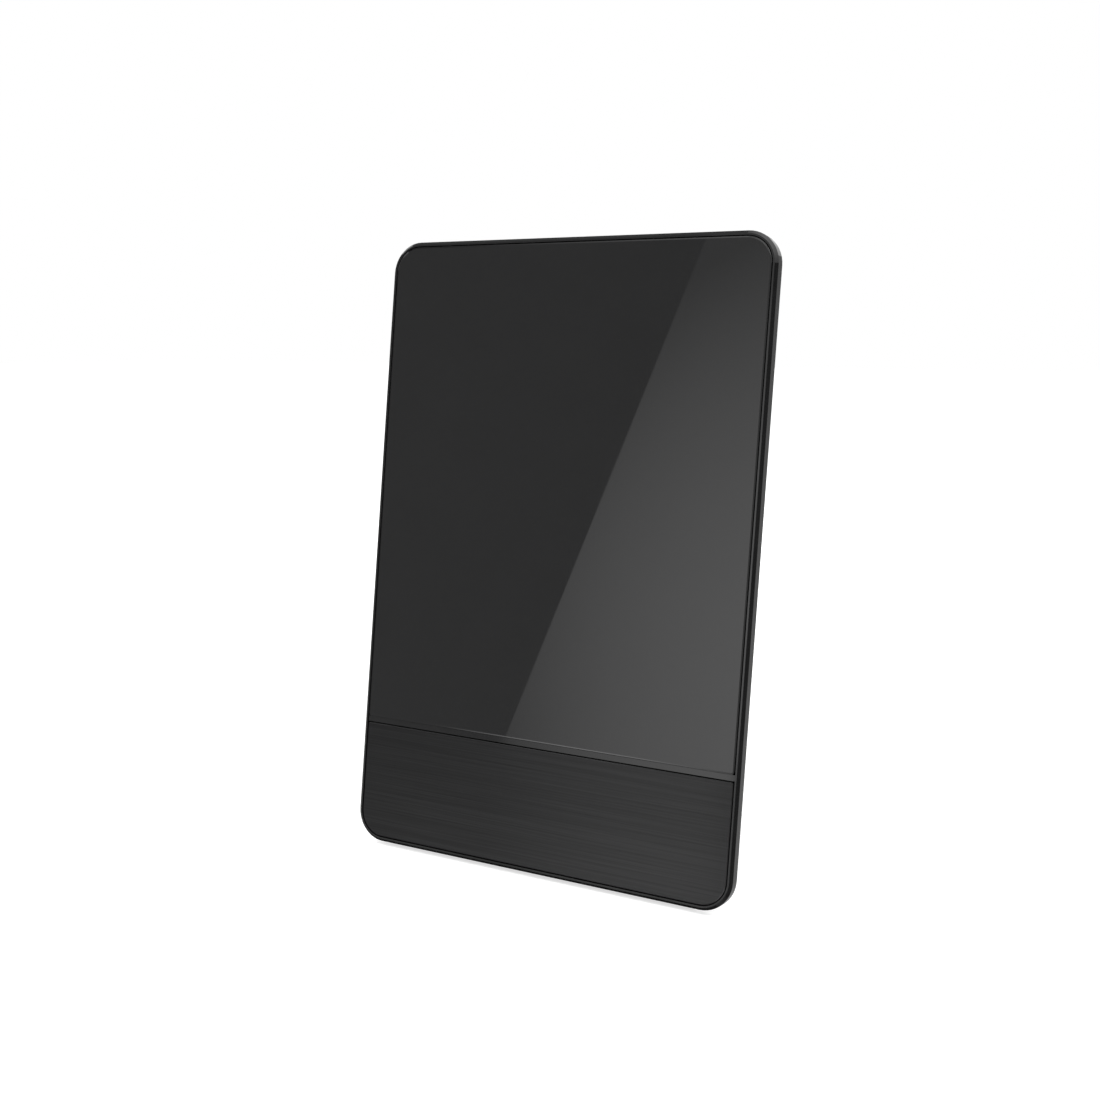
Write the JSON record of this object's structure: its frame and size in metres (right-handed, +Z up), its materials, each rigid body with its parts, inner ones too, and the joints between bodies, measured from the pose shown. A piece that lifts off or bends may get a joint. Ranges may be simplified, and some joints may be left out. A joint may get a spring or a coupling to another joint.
{
  "type": "indoor tv antenna",
  "caption": "Flat tablet-shaped indoor TV antenna with dark glass over a brushed trim panel, leaning back on a fold-out rear leg, with a coaxial output behind.",
  "frame": {"origin": "middle of the foot strip's sole, on the table", "axes": "+Z up, +X to the right seen from the front, the glass faces -Y and leans back towards +Y"},
  "size_m": [0.1704, 0.0506, 0.2518],
  "materials": {
    "bezel_gloss": "gloss black moulding",
    "dark_glass": "polished, black behind",
    "brushed_trim": "black anodised, brushed across",
    "tape": "black foam adhesive",
    "cover_matte": "fine spark texture",
    "screw_steel": "black zinc",
    "foot_rubber": "soft, matt",
    "board": "glass-fibre laminate",
    "copper": "bare copper",
    "ferrite": "pressed ferrite",
    "ceramic": "fired ceramic",
    "nickel": "nickel plate",
    "contact_brass": "bright",
    "insulator": "white"
  },
  "bodies": {
    "panel": {"front_bezel": "bezel_gloss", "glass_panel": "dark_glass", "glass_tape": "tape", "divider_strip": "bezel_gloss", "brushed_panel": "brushed_trim", "trim_tape": "tape", "rear_cover": "cover_matte", "housing_screws": "screw_steel", "foot_strip": "foot_rubber", "stand_hinge_pin": "screw_steel", "antenna_board": "board", "uhf_element": "copper", "vhf_element": "copper", "feed_line": "copper", "balun_core": "ferrite", "balun_winding": "copper", "chip_capacitors": "ceramic", "coax_socket": "nickel", "coax_insulator": "insulator", "coax_contact": "contact_brass", "socket_washer": "nickel", "socket_nut": "nickel"},
    "stand": {"stand_leg": "cover_matte", "stand_foot_pad": "foot_rubber"}
  },
  "joints": [
    {"name": "stand_fold", "type": "hinge", "parent": "panel", "child": "stand", "pos_m": [0, 0.02139, 0.12221], "axis": [1, 0, 0], "range_deg": [-17.5, 0]}
  ]
}
